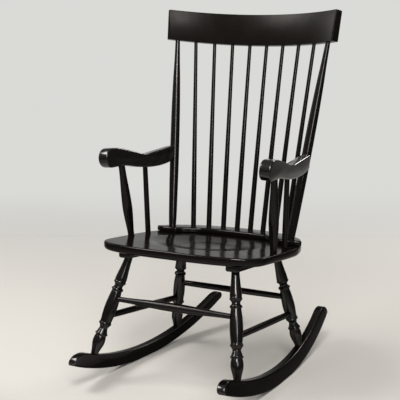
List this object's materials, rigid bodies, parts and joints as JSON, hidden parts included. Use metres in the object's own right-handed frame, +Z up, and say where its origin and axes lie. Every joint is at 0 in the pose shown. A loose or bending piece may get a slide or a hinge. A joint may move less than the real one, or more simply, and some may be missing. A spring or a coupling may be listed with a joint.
{
  "type": "boston rocking chair",
  "caption": "Black lacquered wooden rocking chair with a spindle back, curved crest rail, dished plank seat, scrolled arms, turned legs and splayed rockers.",
  "frame": {"origin": "on the floor, at the centre of the chair's bounding box in plan", "axes": "+Z up; the chair faces -Y; +X is to the right of someone who looks at its front"},
  "size_m": [0.6228, 0.844, 1.1214],
  "materials": {
    "lacquer": "glossy black lacquer",
    "satin_lacquer": "satin black lacquer with faint grain",
    "steel": "plain zinc-plated wood screws"
  },
  "bodies": {
    "root": {"seat": "lacquer", "back_riser": "lacquer", "crest_rail": "satin_lacquer", "back_spindle_1": "lacquer", "back_spindle_2": "lacquer", "back_spindle_3": "lacquer", "back_spindle_4": "lacquer", "back_spindle_5": "lacquer", "back_spindle_6": "lacquer", "back_spindle_7": "lacquer", "back_spindle_8": "lacquer", "riser_plug_left": "lacquer", "riser_plug_middle": "lacquer", "riser_plug_right": "lacquer", "stretcher_front": "lacquer", "stretcher_rear": "lacquer", "back_post_left": "lacquer", "arm_left": "lacquer", "arm_post_left": "lacquer", "arm_spindle_left": "lacquer", "seat_cleat_left": "lacquer", "cleat_screw_left_1": "steel", "cleat_screw_left_2": "steel", "leg_front_left": "lacquer", "leg_button_front_left": "lacquer", "leg_rear_left": "lacquer", "leg_button_rear_left": "lacquer", "stretcher_left": "lacquer", "rocker_left": "lacquer", "back_post_right": "lacquer", "arm_right": "lacquer", "arm_post_right": "lacquer", "arm_spindle_right": "lacquer", "seat_cleat_right": "lacquer", "cleat_screw_right_1": "steel", "cleat_screw_right_2": "steel", "leg_front_right": "lacquer", "leg_button_front_right": "lacquer", "leg_rear_right": "lacquer", "leg_button_rear_right": "lacquer", "stretcher_right": "lacquer", "rocker_right": "lacquer"}
  },
  "joints": []
}
